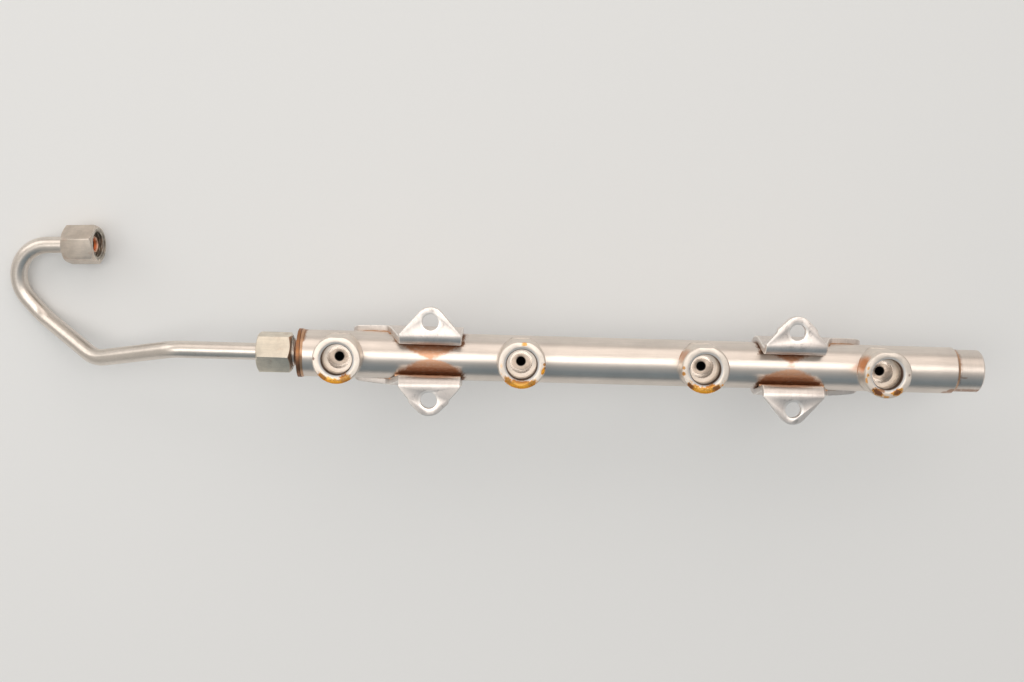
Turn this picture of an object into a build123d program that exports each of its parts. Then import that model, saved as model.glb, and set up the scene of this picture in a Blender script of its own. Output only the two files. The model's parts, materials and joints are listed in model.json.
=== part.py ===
"""Direct-injection fuel rail: a brazed tube with four injector cups, two folded
mounting brackets, a sensor port and a bent high-pressure supply pipe.

Frame: X runs along the rail, +Z is the way the injector cups open, and the origin
is the centre of the four bolt holes, on the mounting face of the bracket ears.
All lengths are millimetres.
"""
from build123d import *
from math import asin, atan2, cos, hypot, radians, sin, sqrt, tan
import os

# --- rail tube ---------------------------------------------------------------
TUBE_OD = 22.0
TUBE_BORE = 16.0
INLET_OVERHANG = 18.0       # first cup axis to the inlet end of the tube
PORT_OVERHANG = 37.0        # last cup axis to the sensor end of the tube
TUBE_END_CHAMFER = 0.5

# --- injector cups -----------------------------------------------------------
CUP_COUNT = 4
CUP_PITCH = 84.0
CUP_OD = 22.0
CUP_HEIGHT = 21.5           # cup face above the tube axis
CUP_SKIRT_HEIGHT = 4.0      # lowest point of the saddle above the tube axis
CUP_FLAT = 10.15            # cup axis to the flat on its +Y side
CUP_EDGE = 0.5
SOCKET_MOUTH = 15.2         # lead-in diameter at the face
SOCKET_LEAD_DEPTH = 2.4
SOCKET_BORE = 13.7          # the injector's O-ring runs here
SOCKET_BORE_DEPTH = 9.0
SOCKET_FLOOR = 10.4         # diameter at the foot of the bore
SOCKET_FLOOR_DEPTH = 9.8
SOCKET_CONE_DEPTH = 13.0    # where the cone has come down to the fuel hole
FUEL_HOLE = 3.9

# --- mounting brackets -------------------------------------------------------
SHEET = 3.0
EAR_HEIGHT = 18.5           # mounting face above the tube axis
WALL_LEAN = 18.0            # degrees that the side walls lean inwards
BEND_INSIDE = 1.5
BOLT_SPREAD = 36.0          # bolt holes, across the rail
BOLT_HOLE = 7.5
EAR_TIP_RADIUS = 6.9
EAR_HALF_WIDTH = 14.2
EAR_SHOULDER = 12.2         # rail centre line to where the ear starts to taper
STEPPED_TIP_RADIUS = 7.3    # the ear whose tip was cut by a second, wider punch
EAR_STEP_X = 9.5            # where that cut starts on the flank
EAR_STEP_Y = 17.7
EAR_STEP_IN = 0.4
EAR_STEP_RISE = 1.6
SADDLE_SHORT = 14.9         # bracket centre to the plain end of the saddle
SADDLE_LONG = 37.2          # bracket centre to the rounded end of the saddle
SADDLE_NECK = 20.5          # bracket centre to the foot of the slanting edge
SADDLE_TAIL_DROP = 5.0      # how far the long edge sinks behind the tube axis
SADDLE_CORNER = 5.0
SADDLE_NECK_RADIUS = 2.5

# --- supply pipe, swept through these corners --------------------------------
PIPE_OD = 8.0
PIPE_BORE = 4.5
PIPE_BEND_RADIUS = 16.9
# corners from the mouth of the inlet fitting, which is the pipe's first point
PIPE_CORNERS = [
    (-48.0, 0.0, 0.0),
    (-90.1, -8.3, -20.0),
    (-121.4, 9.9, -38.5),
    (-150.4, 43.7, -36.1),
    (-94.9, 46.1, -29.9),
]

# --- union between pipe and fitting ------------------------------------------
UNION_THREAD = 14.0         # nominal size, pitch below
UNION_PITCH = 1.5
THREAD_DEPTH_RATIO = 1.0825  # nominal diameter less core diameter, in pitches
THREAD_CLEARANCE = 0.1      # between the two cores, on the radius
SEAT_MOUTH = 10.0           # sealing cone at the mouth of the fitting
SEAT_HALF_ANGLE = 30.0
SEAT_STAND_OFF = 0.4        # sealing head's collar to the mouth of the fitting
HEAD_OD = 11.2
HEAD_LENGTH = 2.2
HEAD_NOSE = 7.6
HEAD_BORE_MOUTH = 6.8
HEAD_MOUTH_DEPTH = 1.4
PIPE_SLIP = 0.3             # nut over pipe, on the radius

# --- hexagon union nuts ------------------------------------------------------
NUT_FLATS = 17.0
NUT_LENGTH = 16.0
NUT_THREAD_DEPTH = 10.0
NUT_CHAMFER_ANGLE = 30.0
NUT_FACE_INSET = 0.5        # end face's circle inside the flats
RAIL_NUT_TURN = 37.0        # degrees that each hexagon stands turned
PUMP_NUT_TURN = 12.0
PUMP_NUT_SLACK = 3.8        # the loose nut has slid back this far from its seat

# --- inlet fitting -----------------------------------------------------------
FLANGE_RIM = 0.4            # flange beyond the tube, on the radius
FLANGE_THICKNESS = 1.8
FITTING_NECK_OD = 9.8
FITTING_NECK_LENGTH = 1.7
FITTING_THREAD_LENGTH = 9.3
FITTING_BORE = 5.0
FITTING_SPIGOT = 9.0        # length inside the tube
THREAD_RUN_OUT = 0.8
BRAZE_LEG = 1.1

# --- pressure sensor port ----------------------------------------------------
PORT_OD = 20.0
PORT_LENGTH = 12.9
PORT_SPIGOT = 10.0
PORT_EDGE = 0.8
PORT_BRAZE_LEG = 1.0        # along the port
PORT_BRAZE_RISE = 0.5       # up the end face of the tube
SENSOR_THREAD = 12.0
SENSOR_PITCH = 1.5
SENSOR_THREAD_DEPTH = 10.0
SENSOR_SEAT_ANGLE = 60.0    # half angle of the cone that the sensor seals on
SENSOR_HOLE = 3.5
SENSOR_COUNTERSINK = 0.8

# --- worked out from the sizes above -----------------------------------------
CUP_X = [(i - (CUP_COUNT - 1) / 2) * CUP_PITCH for i in range(CUP_COUNT)]
BRACKET_X = (CUP_X[-1] + CUP_X[-2]) / 2
TUBE_INLET_X = CUP_X[0] - INLET_OVERHANG
TUBE_PORT_X = CUP_X[-1] + PORT_OVERHANG
TUBE_R = TUBE_OD / 2
FLANGE_R = TUBE_R + FLANGE_RIM
FITTING_MOUTH_X = TUBE_INLET_X - FLANGE_THICKNESS - FITTING_NECK_LENGTH - FITTING_THREAD_LENGTH
NUT_CORE_R = (UNION_THREAD - THREAD_DEPTH_RATIO * UNION_PITCH) / 2
STUD_CORE_R = NUT_CORE_R - THREAD_CLEARANCE
SENSOR_CORE_R = (SENSOR_THREAD - THREAD_DEPTH_RATIO * SENSOR_PITCH) / 2
HEAD_BACK = -(SEAT_STAND_OFF + HEAD_LENGTH)
NUT_SHOULDER = HEAD_BACK + (NUT_CORE_R - HEAD_OD / 2)
NUT_MOUTH = NUT_SHOULDER + NUT_THREAD_DEPTH
CUT = 1.0                   # how far a cutting tool overshoots
TOUCH = 0.01                # two points nearer than this are one

TO_FRAME = Pos(0, 0, -EAR_HEIGHT)


def rod(x_from, x_to, radius):
    """A round bar along X, on the tube axis."""
    return extrude(Plane.YZ.offset(x_from) * Circle(radius), amount=x_to - x_from)


def turned(points):
    """A piece turned about X, from (x, radius) points that close on themselves."""
    outline = Polyline(*points, close=True)
    return revolve(Plane.XZ * make_face(outline), axis=Axis.X)


def socket_tool(x):
    """Everything the drill and reamer take out for one injector, fuel hole included."""
    face = CUP_HEIGHT
    points = [
        (0, 0),
        (FUEL_HOLE / 2, 0),
        (FUEL_HOLE / 2, face - SOCKET_CONE_DEPTH),
        (SOCKET_FLOOR / 2, face - SOCKET_FLOOR_DEPTH),
        (SOCKET_FLOOR / 2, face - SOCKET_BORE_DEPTH),
        (SOCKET_BORE / 2, face - SOCKET_BORE_DEPTH),
        (SOCKET_BORE / 2, face - SOCKET_LEAD_DEPTH),
        (SOCKET_MOUTH / 2, face),
        (SOCKET_MOUTH / 2, face + CUT),
        (0, face + CUT),
    ]
    outline = Plane.XZ * make_face(Polyline(*points, close=True))
    return Pos(x, 0, 0) * revolve(outline, axis=Axis.Z)


def rail_tube():
    """The thick-walled tube, with one countersunk fuel hole below each cup."""
    tube = rod(TUBE_INLET_X, TUBE_PORT_X, TUBE_R)
    rims = tube.edges().filter_by(GeomType.CIRCLE)
    tube = chamfer(rims, TUBE_END_CHAMFER)
    tube -= rod(TUBE_INLET_X - CUT, TUBE_PORT_X + CUT, TUBE_BORE / 2)
    for x in CUP_X:
        tube -= socket_tool(x)
    return tube


def injector_cup(x):
    """One cup, saddled on the tube, with its stepped socket and its one flat."""
    body = Cylinder(
        CUP_OD / 2,
        CUP_HEIGHT - CUP_SKIRT_HEIGHT,
        align=(Align.CENTER, Align.CENTER, Align.MIN),
    )
    body = Pos(0, 0, CUP_SKIRT_HEIGHT) * body
    rim = body.edges().group_by(Axis.Z)[-1]
    body = chamfer(rim, CUP_EDGE)
    beyond_flat = Pos(0, CUP_FLAT, 0) * Box(
        CUP_OD + CUT, CUP_OD, 2 * CUP_HEIGHT + CUT, align=(Align.CENTER, Align.MIN, Align.CENTER)
    )
    body -= beyond_flat
    body -= rod(-CUP_OD, CUP_OD, TUBE_R)
    return Pos(x, 0, 0) * body - socket_tool(x)


def bracket_section():
    """Half of the folded sheet's section, in the YZ plane, on the +Y side."""
    lean = radians(WALL_LEAN)
    normal = Vector(cos(lean), sin(lean))
    along = Vector(-sin(lean), cos(lean))
    bend_outside = BEND_INSIDE + SHEET
    outer_r = TUBE_R + SHEET
    centre_z = EAR_HEIGHT - bend_outside
    rise = (centre_z - (TUBE_R + bend_outside) * sin(lean)) / cos(lean)
    centre = normal * (TUBE_R + bend_outside) + along * rise
    middle = (Vector(0, 1) - normal).normalized()
    reach = BOLT_SPREAD / 2 + STEPPED_TIP_RADIUS + CUT
    halfway = radians((WALL_LEAN - 90) / 2)
    low = Vector(cos(halfway), sin(halfway))
    edges = [
        ThreePointArc((0, -TUBE_R), low * TUBE_R, normal * TUBE_R),
        Line(normal * TUBE_R, normal * TUBE_R + along * rise),
        ThreePointArc(
            normal * TUBE_R + along * rise,
            centre + middle * bend_outside,
            (centre.X, EAR_HEIGHT),
        ),
        Line((centre.X, EAR_HEIGHT), (reach, EAR_HEIGHT)),
        Line((reach, EAR_HEIGHT), (reach, EAR_HEIGHT - SHEET)),
        Line((reach, EAR_HEIGHT - SHEET), (centre.X, EAR_HEIGHT - SHEET)),
        ThreePointArc(
            (centre.X, EAR_HEIGHT - SHEET),
            centre + middle * BEND_INSIDE,
            normal * outer_r + along * rise,
        ),
        Line(normal * outer_r + along * rise, normal * outer_r),
        ThreePointArc(normal * outer_r, low * outer_r, (0, -outer_r)),
        Line((0, -outer_r), (0, -TUBE_R)),
    ]
    return make_face(Curve() + edges), centre_z


def tangent_point(point, centre, radius, side):
    """Where a line from the point touches a circle, on its left (1) or right (-1)."""
    dx = centre[0] - point[0]
    dy = centre[1] - point[1]
    distance = hypot(dx, dy)
    heading = atan2(dy, dx) + side * asin(radius / distance)
    length = sqrt(distance**2 - radius**2)
    return (point[0] + length * cos(heading), point[1] + length * sin(heading))


def ear_outline(flank, tip_radius):
    """Plan view of an ear on the +Y side: straight flanks, then a round tip."""
    tip = (0, BOLT_SPREAD / 2)
    touch = tangent_point(flank[-1], tip, tip_radius, -1)
    right = [(EAR_HALF_WIDTH, 0), *flank, touch]
    left = [(-x, y) for x, y in reversed(right)]
    top = (0, tip[1] + tip_radius)
    outline = Curve() + [
        Polyline(*right),
        ThreePointArc(touch, top, left[0]),
        Polyline(*left),
        Line(left[-1], right[0]),
    ]
    return make_face(outline)


def plain_ear():
    return ear_outline([(EAR_HALF_WIDTH, EAR_SHOULDER)], EAR_TIP_RADIUS)


def stepped_ear():
    """The other ear keeps a step on each flank, where two punches met."""
    flank = [
        (EAR_HALF_WIDTH, EAR_SHOULDER),
        (EAR_STEP_X, EAR_STEP_Y),
        (EAR_STEP_X - EAR_STEP_IN, EAR_STEP_Y + EAR_STEP_RISE),
    ]
    return ear_outline(flank, STEPPED_TIP_RADIUS)


def saddle_outline():
    """Side view of the bracket: the sheet is kept inside this, in the XZ plane."""
    back = -(TUBE_R + SHEET + CUT)
    top = EAR_HEIGHT + CUT
    fold = EAR_HEIGHT - SHEET - BEND_INSIDE
    tail = make_face(
        Polyline(
            (-SADDLE_LONG, back),
            (-SADDLE_LONG, -SADDLE_TAIL_DROP),
            (-SADDLE_NECK, 0),
            (-EAR_HALF_WIDTH, fold),
            (-EAR_HALF_WIDTH, top),
            (EAR_HALF_WIDTH, top),
            (EAR_HALF_WIDTH, fold),
            (SADDLE_SHORT, 0),
            (SADDLE_SHORT, back),
            close=True,
        )
    )
    corner = tail.vertices().filter_by(lambda v: abs(v.X + SADDLE_LONG) < TOUCH and v.Y > back + CUT)
    tail = fillet(corner, SADDLE_CORNER)
    neck = tail.vertices().filter_by(lambda v: abs(v.X + SADDLE_NECK) < TOUCH)
    return fillet(neck, SADDLE_NECK_RADIUS)


def bracket():
    """One folded bracket at X = 0: its long saddle end towards -X, its plain ear on +Y."""
    section, fold_height = bracket_section()
    blank = extrude(Plane.YZ.offset(-SADDLE_LONG) * section, amount=SADDLE_LONG + SADDLE_SHORT)
    reach = BOLT_SPREAD / 2 + STEPPED_TIP_RADIUS + 2 * CUT
    side = extrude(Plane.XZ * saddle_outline(), amount=reach, both=True)
    sheet = blank & side
    halves = []
    for ear in (plain_ear(), stepped_ear()):
        plan = Pos(0, reach / 2 + EAR_SHOULDER, 0) * Rectangle(2 * SADDLE_LONG, reach) - ear
        trim = extrude(Plane.XY.offset(fold_height) * plan, amount=EAR_HEIGHT)
        hole = Pos(0, BOLT_SPREAD / 2, 0) * Cylinder(BOLT_HOLE / 2, 4 * EAR_HEIGHT)
        halves.append(sheet - trim - hole)
    plain, stepped = halves
    return plain + mirror(stepped, Plane.XZ)


def inlet_fitting():
    """Turned end fitting: spigot in the tube, flange, relief neck and male stud.

    The stud is modelled at its thread core, and its mouth is the sealing cone.
    """
    x_flange = TUBE_INLET_X - FLANGE_THICKNESS
    x_thread = x_flange - FITTING_NECK_LENGTH
    neck_r = FITTING_NECK_OD / 2
    body = turned(
        [
            (FITTING_MOUTH_X, 0),
            (FITTING_MOUTH_X, STUD_CORE_R - UNION_PITCH / 4),
            (FITTING_MOUTH_X + UNION_PITCH / 4, STUD_CORE_R),
            (x_thread, STUD_CORE_R),
            (x_thread + THREAD_RUN_OUT, neck_r),
            (x_flange, neck_r),
            (x_flange, FLANGE_R),
            (TUBE_INLET_X, FLANGE_R),
            (TUBE_INLET_X, TUBE_BORE / 2),
            (TUBE_INLET_X + FITTING_SPIGOT, TUBE_BORE / 2),
            (TUBE_INLET_X + FITTING_SPIGOT, 0),
        ]
    )
    cone_depth = (SEAT_MOUTH - FITTING_BORE) / 2 / tan(radians(SEAT_HALF_ANGLE))
    passage = turned(
        [
            (FITTING_MOUTH_X - CUT, 0),
            (FITTING_MOUTH_X - CUT, SEAT_MOUTH / 2),
            (FITTING_MOUTH_X, SEAT_MOUTH / 2),
            (FITTING_MOUTH_X + cone_depth, FITTING_BORE / 2),
            (TUBE_INLET_X + FITTING_SPIGOT + CUT, FITTING_BORE / 2),
            (TUBE_INLET_X + FITTING_SPIGOT + CUT, 0),
        ]
    )
    return body - passage


def inlet_braze():
    """Copper fillet between the inlet flange and the tube."""
    return turned(
        [
            (TUBE_INLET_X, TUBE_R - TUBE_END_CHAMFER),
            (TUBE_INLET_X, FLANGE_R),
            (TUBE_INLET_X + BRAZE_LEG, TUBE_R),
            (TUBE_INLET_X + TUBE_END_CHAMFER, TUBE_R),
        ]
    )


def sensor_port():
    """Turned boss at the far end, tapped for a pressure sensor with a cone seat."""
    x_face = TUBE_PORT_X + PORT_LENGTH
    x_seat = x_face - SENSOR_THREAD_DEPTH
    cone = (SENSOR_CORE_R - SENSOR_HOLE / 2) / tan(radians(SENSOR_SEAT_ANGLE))
    body = turned(
        [
            (TUBE_PORT_X - PORT_SPIGOT, 0),
            (TUBE_PORT_X - PORT_SPIGOT, TUBE_BORE / 2),
            (TUBE_PORT_X, TUBE_BORE / 2),
            (TUBE_PORT_X, PORT_OD / 2),
            (x_face - PORT_EDGE, PORT_OD / 2),
            (x_face, PORT_OD / 2 - PORT_EDGE),
            (x_face, 0),
        ]
    )
    tapping = turned(
        [
            (TUBE_PORT_X - PORT_SPIGOT - CUT, 0),
            (TUBE_PORT_X - PORT_SPIGOT - CUT, SENSOR_HOLE / 2),
            (x_seat - cone, SENSOR_HOLE / 2),
            (x_seat, SENSOR_CORE_R),
            (x_face - SENSOR_COUNTERSINK, SENSOR_CORE_R),
            (x_face, SENSOR_CORE_R + SENSOR_COUNTERSINK),
            (x_face + CUT, SENSOR_CORE_R + SENSOR_COUNTERSINK),
            (x_face + CUT, 0),
        ]
    )
    return body - tapping


def port_braze():
    """Copper fillet between the end of the tube and the sensor port."""
    return turned(
        [
            (TUBE_PORT_X, PORT_OD / 2),
            (TUBE_PORT_X, PORT_OD / 2 + PORT_BRAZE_RISE),
            (TUBE_PORT_X + PORT_BRAZE_LEG, PORT_OD / 2),
        ]
    )


def sealing_head():
    """Conical head brazed on the pipe's end, mouth of its seat at X = 0, nose to +X."""
    slope = tan(radians(SEAT_HALF_ANGLE))
    nose_x = (SEAT_MOUTH - HEAD_NOSE) / 2 / slope
    collar_r = SEAT_MOUTH / 2 + SEAT_STAND_OFF * slope
    body = turned(
        [
            (HEAD_BACK - (HEAD_OD - PIPE_OD) / 2, 0),
            (HEAD_BACK - (HEAD_OD - PIPE_OD) / 2, PIPE_OD / 2),
            (HEAD_BACK, HEAD_OD / 2),
            (-SEAT_STAND_OFF, HEAD_OD / 2),
            (-SEAT_STAND_OFF, collar_r),
            (nose_x, HEAD_NOSE / 2),
            (nose_x, 0),
        ]
    )
    passage = turned(
        [
            (HEAD_BACK - HEAD_OD, 0),
            (HEAD_BACK - HEAD_OD, PIPE_OD / 2),
            (0, PIPE_OD / 2),
            (0, PIPE_BORE / 2),
            (nose_x - HEAD_MOUTH_DEPTH, PIPE_BORE / 2),
            (nose_x, HEAD_BORE_MOUTH / 2),
            (nose_x + CUT, HEAD_BORE_MOUTH / 2),
            (nose_x + CUT, 0),
        ]
    )
    return body - passage


def union_nut(turn):
    """Hexagon nut round a pipe along X, in the seated place, thread mouth to +X."""
    back = NUT_MOUTH - NUT_LENGTH
    corner_r = NUT_FLATS / sqrt(3)
    hexagon = Rot(0, 0, turn) * RegularPolygon(corner_r, 6)
    body = extrude(Plane.YZ.offset(back) * hexagon, amount=NUT_LENGTH)
    chamfer_r = NUT_FLATS / 2 - NUT_FACE_INSET
    drop = (corner_r + CUT - chamfer_r) * tan(radians(NUT_CHAMFER_ANGLE))
    envelope = turned(
        [
            (back, 0),
            (back, chamfer_r),
            (back + drop, corner_r + CUT),
            (NUT_MOUTH - drop, corner_r + CUT),
            (NUT_MOUTH, chamfer_r),
            (NUT_MOUTH, 0),
        ]
    )
    slip_r = PIPE_OD / 2 + PIPE_SLIP
    bore = turned(
        [
            (back - CUT, 0),
            (back - CUT, slip_r),
            (NUT_SHOULDER - (NUT_CORE_R - slip_r), slip_r),
            (NUT_SHOULDER, NUT_CORE_R),
            (NUT_MOUTH - UNION_PITCH / 2, NUT_CORE_R),
            (NUT_MOUTH, NUT_CORE_R + UNION_PITCH / 2),
            (NUT_MOUTH + CUT, NUT_CORE_R + UNION_PITCH / 2),
            (NUT_MOUTH + CUT, 0),
        ]
    )
    return (body & envelope) - bore


def pipe_route():
    """Corner points of the pipe's centre line, from the fitting to the pump end."""
    start = Vector(FITTING_MOUTH_X, 0, 0)
    return [start] + [start + Vector(*corner) for corner in PIPE_CORNERS]


def supply_pipe():
    """The bent pipe: straight runs and arcs of one bending radius."""
    route = pipe_route()
    path = FilletPolyline(*route, radius=PIPE_BEND_RADIUS)
    start = Plane(origin=route[0], z_dir=route[1] - route[0])
    wall = start * (Circle(PIPE_OD / 2) - Circle(PIPE_BORE / 2))
    return sweep(wall, path=path)


def pump_end():
    """Location of the pump end's union, with its X along the pipe towards the pump."""
    route = pipe_route()
    outwards = (route[-1] - route[-2]).normalized()
    across = Vector(0, 1, 0)
    plane = Plane(origin=route[-1], x_dir=across - outwards * across.dot(outwards), z_dir=outwards)
    return plane.location * Rot(0, -90, 0) * Rot(-90, 0, 0)


def build():
    """All pieces by node name, still on the tube axis."""
    rail_union = Pos(FITTING_MOUTH_X, 0, 0)
    pump_union = pump_end()
    pieces = {
        "rail_tube": rail_tube(),
        "inlet_fitting": inlet_fitting(),
        "inlet_braze": inlet_braze(),
        "sensor_port": sensor_port(),
        "port_braze": port_braze(),
        "bracket_inlet_end": Pos(-BRACKET_X, 0, 0) * bracket(),
        "bracket_sensor_end": Pos(BRACKET_X, 0, 0) * Rot(0, 0, 180) * bracket(),
        "supply_pipe": supply_pipe(),
        "sealing_head_rail": rail_union * sealing_head(),
        "sealing_head_pump": pump_union * sealing_head(),
        "rail_nut": rail_union * union_nut(RAIL_NUT_TURN),
        "pump_nut": pump_union * Pos(-PUMP_NUT_SLACK, 0, 0) * union_nut(PUMP_NUT_TURN),
    }
    for number, x in enumerate(CUP_X, start=1):
        pieces[f"injector_cup_{number}"] = injector_cup(x)
    return pieces


def main():
    os.makedirs("parts", exist_ok=True)
    for name, piece in build().items():
        export_step(TO_FRAME * piece, f"parts/{name}.step")
    mouth = TO_FRAME * pump_end()
    print("pump union at", mouth.position, "turned", mouth.orientation)


main()
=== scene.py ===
"""Finish of a direct-injection fuel rail, built round its packed construction model.

Every piece is in metres, in the frame of the construction model: X along the rail,
+Z out of the bracket ears, the way the injector cups open.
"""
import json
from math import atan2, ceil, cos, hypot, pi, radians, sin, sqrt

import bmesh
import bpy
from bpy.props import FloatProperty, FloatVectorProperty, PointerProperty
from mathutils import Matrix, Vector


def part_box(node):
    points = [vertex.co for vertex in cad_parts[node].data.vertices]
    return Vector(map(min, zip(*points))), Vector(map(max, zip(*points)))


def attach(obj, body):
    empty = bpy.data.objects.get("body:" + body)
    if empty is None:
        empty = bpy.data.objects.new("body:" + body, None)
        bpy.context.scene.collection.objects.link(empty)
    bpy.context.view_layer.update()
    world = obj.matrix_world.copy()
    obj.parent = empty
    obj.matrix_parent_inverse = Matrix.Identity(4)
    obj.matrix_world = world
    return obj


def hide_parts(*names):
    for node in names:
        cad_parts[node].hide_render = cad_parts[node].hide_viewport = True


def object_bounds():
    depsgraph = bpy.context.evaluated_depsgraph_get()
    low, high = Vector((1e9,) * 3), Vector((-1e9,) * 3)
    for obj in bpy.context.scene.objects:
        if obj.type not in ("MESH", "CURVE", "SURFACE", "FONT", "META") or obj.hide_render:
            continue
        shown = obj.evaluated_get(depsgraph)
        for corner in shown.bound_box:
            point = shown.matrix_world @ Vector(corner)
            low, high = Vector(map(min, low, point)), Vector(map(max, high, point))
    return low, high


bl_info = {
    "name": "Fuel Rail Finish",
    "version": (1, 0, 0),
    "blender": (4, 5, 0),
    "location": "3D View > Sidebar > Fuel Rail",
    "description": "Dresses a brazed fuel rail with threads, braze, heat tint and satin steel",
    "category": "Object",
}

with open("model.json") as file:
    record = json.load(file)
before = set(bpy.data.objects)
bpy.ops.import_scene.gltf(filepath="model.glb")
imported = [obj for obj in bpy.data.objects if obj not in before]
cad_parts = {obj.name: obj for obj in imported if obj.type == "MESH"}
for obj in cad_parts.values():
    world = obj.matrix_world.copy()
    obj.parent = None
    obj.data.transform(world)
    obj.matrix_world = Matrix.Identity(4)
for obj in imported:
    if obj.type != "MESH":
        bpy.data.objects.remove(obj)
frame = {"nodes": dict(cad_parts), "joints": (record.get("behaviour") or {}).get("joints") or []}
CAD_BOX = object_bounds()
MM = 0.001

# --- places taken from the construction model --------------------------------
TUBE_LOW, TUBE_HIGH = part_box("rail_tube")
AXIS_Z = (TUBE_LOW.z + TUBE_HIGH.z) / 2
TUBE_R = (TUBE_HIGH.z - TUBE_LOW.z) / 2
CUPS = [f"injector_cup_{number}" for number in range(1, 5)]
BRACKETS = {"bracket_inlet_end": -1, "bracket_sensor_end": 1}    # which way each one points


def middle(node):
    low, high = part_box(node)
    return (low + high) / 2


CUP_X = [middle(cup).x for cup in CUPS]
CUP_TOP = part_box(CUPS[0])[1].z
CUP_R = (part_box(CUPS[0])[1].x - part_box(CUPS[0])[0].x) / 2
CUP_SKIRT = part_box(CUPS[0])[0].z - AXIS_Z
CUP_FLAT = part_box(CUPS[0])[1].y
BRACKET_X = (CUP_X[2] + CUP_X[3]) / 2
RAIL_NUT_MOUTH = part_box("rail_nut")[1].x
PORT_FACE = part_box("sensor_port")[1].x
ALONG_RAIL = Vector((1, 0, 0))
SPIN = frame["joints"][0]
PUMP_AXIS = Vector(SPIN["axis"]).normalized()
PUMP_SEAT = Vector(SPIN["pos_m"])


def reach_along(node, origin, axis):
    """How far a node's vertices reach along an axis, from the origin."""
    return max((vertex.co - origin).dot(axis) for vertex in frame["nodes"][node].data.vertices)


# --- sizes repeated from the construction model ------------------------------
CUP_PITCH = CUP_X[1] - CUP_X[0]
TUBE_BORE_R = 8.0 * MM
FLANGE = 1.8 * MM
SOCKET_MOUTH_R = 7.6 * MM
SOCKET_BORE_R = 6.85 * MM
SOCKET_LEAD = 2.4 * MM                     # depth of the lead-in below the face
SOCKET_BORE_FLOOR = 9.0 * MM               # depth where the bore ends
SOCKET_CONE = 9.8 * MM                     # depth where the cone begins
SOCKET_CONE_R = 5.2 * MM
FUEL_HOLE_R = 1.95 * MM
BOLT_HOLE_R = 3.75 * MM
BOLT_Y = 18.0 * MM
WALL_LEAN = radians(18)
SADDLE_LONG = 37.2 * MM
SADDLE_NECK = 20.5 * MM
SADDLE_TAIL_DROP = 5.0 * MM
SADDLE_CORNER = 5.0 * MM
EAR_HALF_WIDTH = 14.2 * MM
FOLD_HEIGHT = 14.0 * MM                    # from the tube's axis up to the fold of an ear
WEDGE_REACH = 5.2 * MM                     # how far up a wall its wedge of braze goes
STUD_CORE_R = 6.05 * MM                    # just inside the stud's own surface
THREAD_DEPTH = 1.0825                      # what a thread takes off its diameter, in pitches
PORT_TAP = 10.6 * MM                       # lengths of the two taps, with what is outside
NUT_TAP = 10.4 * MM
TAP_OVERRUN = 1.5 * MM                     # how far outside a mouth a tap starts
TAP_SLACK = 0.02 * MM                      # how far a tap's core stays inside the drilled hole


def length_property(name, description, default, low, high):
    return FloatProperty(
        name=name, description=description, default=default * MM, min=low * MM, max=high * MM,
        precision=5, subtype="DISTANCE", unit="LENGTH",
    )


class FuelRailSizes(bpy.types.PropertyGroup):
    """Small forms that the construction model leaves plain."""

    thread_pitch: length_property("Thread pitch", "Pitch of the union and sensor threads", 1.5, 0.5, 3)
    union_thread: length_property("Union thread", "Nominal diameter of the union threads", 14, 8, 24)
    sensor_thread: length_property("Sensor thread", "Nominal diameter in the sensor port", 12, 6, 18)
    nut_edge: length_property("Nut edge", "Worn edges of the hexagons", 0.34, 0.02, 1)
    sheet_edge: length_property("Sheet edge", "Rounded bracket edges", 0.5, 0.05, 1.2)
    hole_edge: length_property("Hole edge", "Rounded bolt hole edges", 0.22, 0.02, 0.6)
    socket_round: length_property("Socket rounding", "Rounding at each cup's mouth", 0.9, 0.1, 2)
    rim_edge: length_property("Rim edge", "Worn edges round each cup's face", 0.16, 0.02, 0.4)
    bead_radius: length_property("Bead radius", "Radius of the braze round the cups", 0.32, 0.1, 1.5)
    saddle_bead: length_property("Saddle bead", "Radius of the braze along the saddles", 0.5, 0.1, 1.5)
    wall_bead: length_property("Wall bead", "Radius of the braze under the walls", 0.72, 0.1, 1.5)


def colour_property(name, description, default):
    return FloatVectorProperty(
        name=name, description=description, default=default,
        size=3, min=0, max=1, subtype="COLOR",
    )


class FuelRailColours(bpy.types.PropertyGroup):
    """Finishes."""

    tube: colour_property("Tube", "Drawn stainless tube", (0.82, 0.74, 0.67))
    cup: colour_property("Cups", "Turned stainless cups", (0.88, 0.79, 0.70))
    sheet: colour_property("Brackets", "Rolled stainless sheet", (0.84, 0.77, 0.72))
    # Brighter than the sheet and nuts: partly wear, partly a painted highlight on the rounded edges.
    edge: colour_property("Worn edges", "Bright rounded edges of sheet and nuts", (0.96, 0.91, 0.86))
    pipe: colour_property("Pipe", "Drawn stainless pipe", (0.80, 0.73, 0.66))
    nut: colour_property("Nuts", "Dull drawn hexagon", (0.86, 0.78, 0.67))
    copper: colour_property("Copper film", "Thin braze copper on the steel", (0.78, 0.44, 0.28))
    braze: colour_property("Braze", "Dulled brown braze in the joints", (0.30, 0.15, 0.085))
    varnish: colour_property("Varnish", "Golden fuel varnish", (1.0, 0.43, 0.03))
    varnish_dark: colour_property("Burnt varnish", "Varnish where it is thick", (0.15, 0.05, 0.016))
    # Near black painted into the holes and bores as painted shade.
    painted_inside_shade: colour_property("Inside shade", "Unlit insides", (0.012, 0.011, 0.011))
    floor: colour_property("Floor", "Plain studio floor", (0.82, 0.83, 0.83))


def power_property(name, description, default):
    return FloatProperty(name=name, description=description, default=default, min=0, max=200, unit="POWER")


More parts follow.
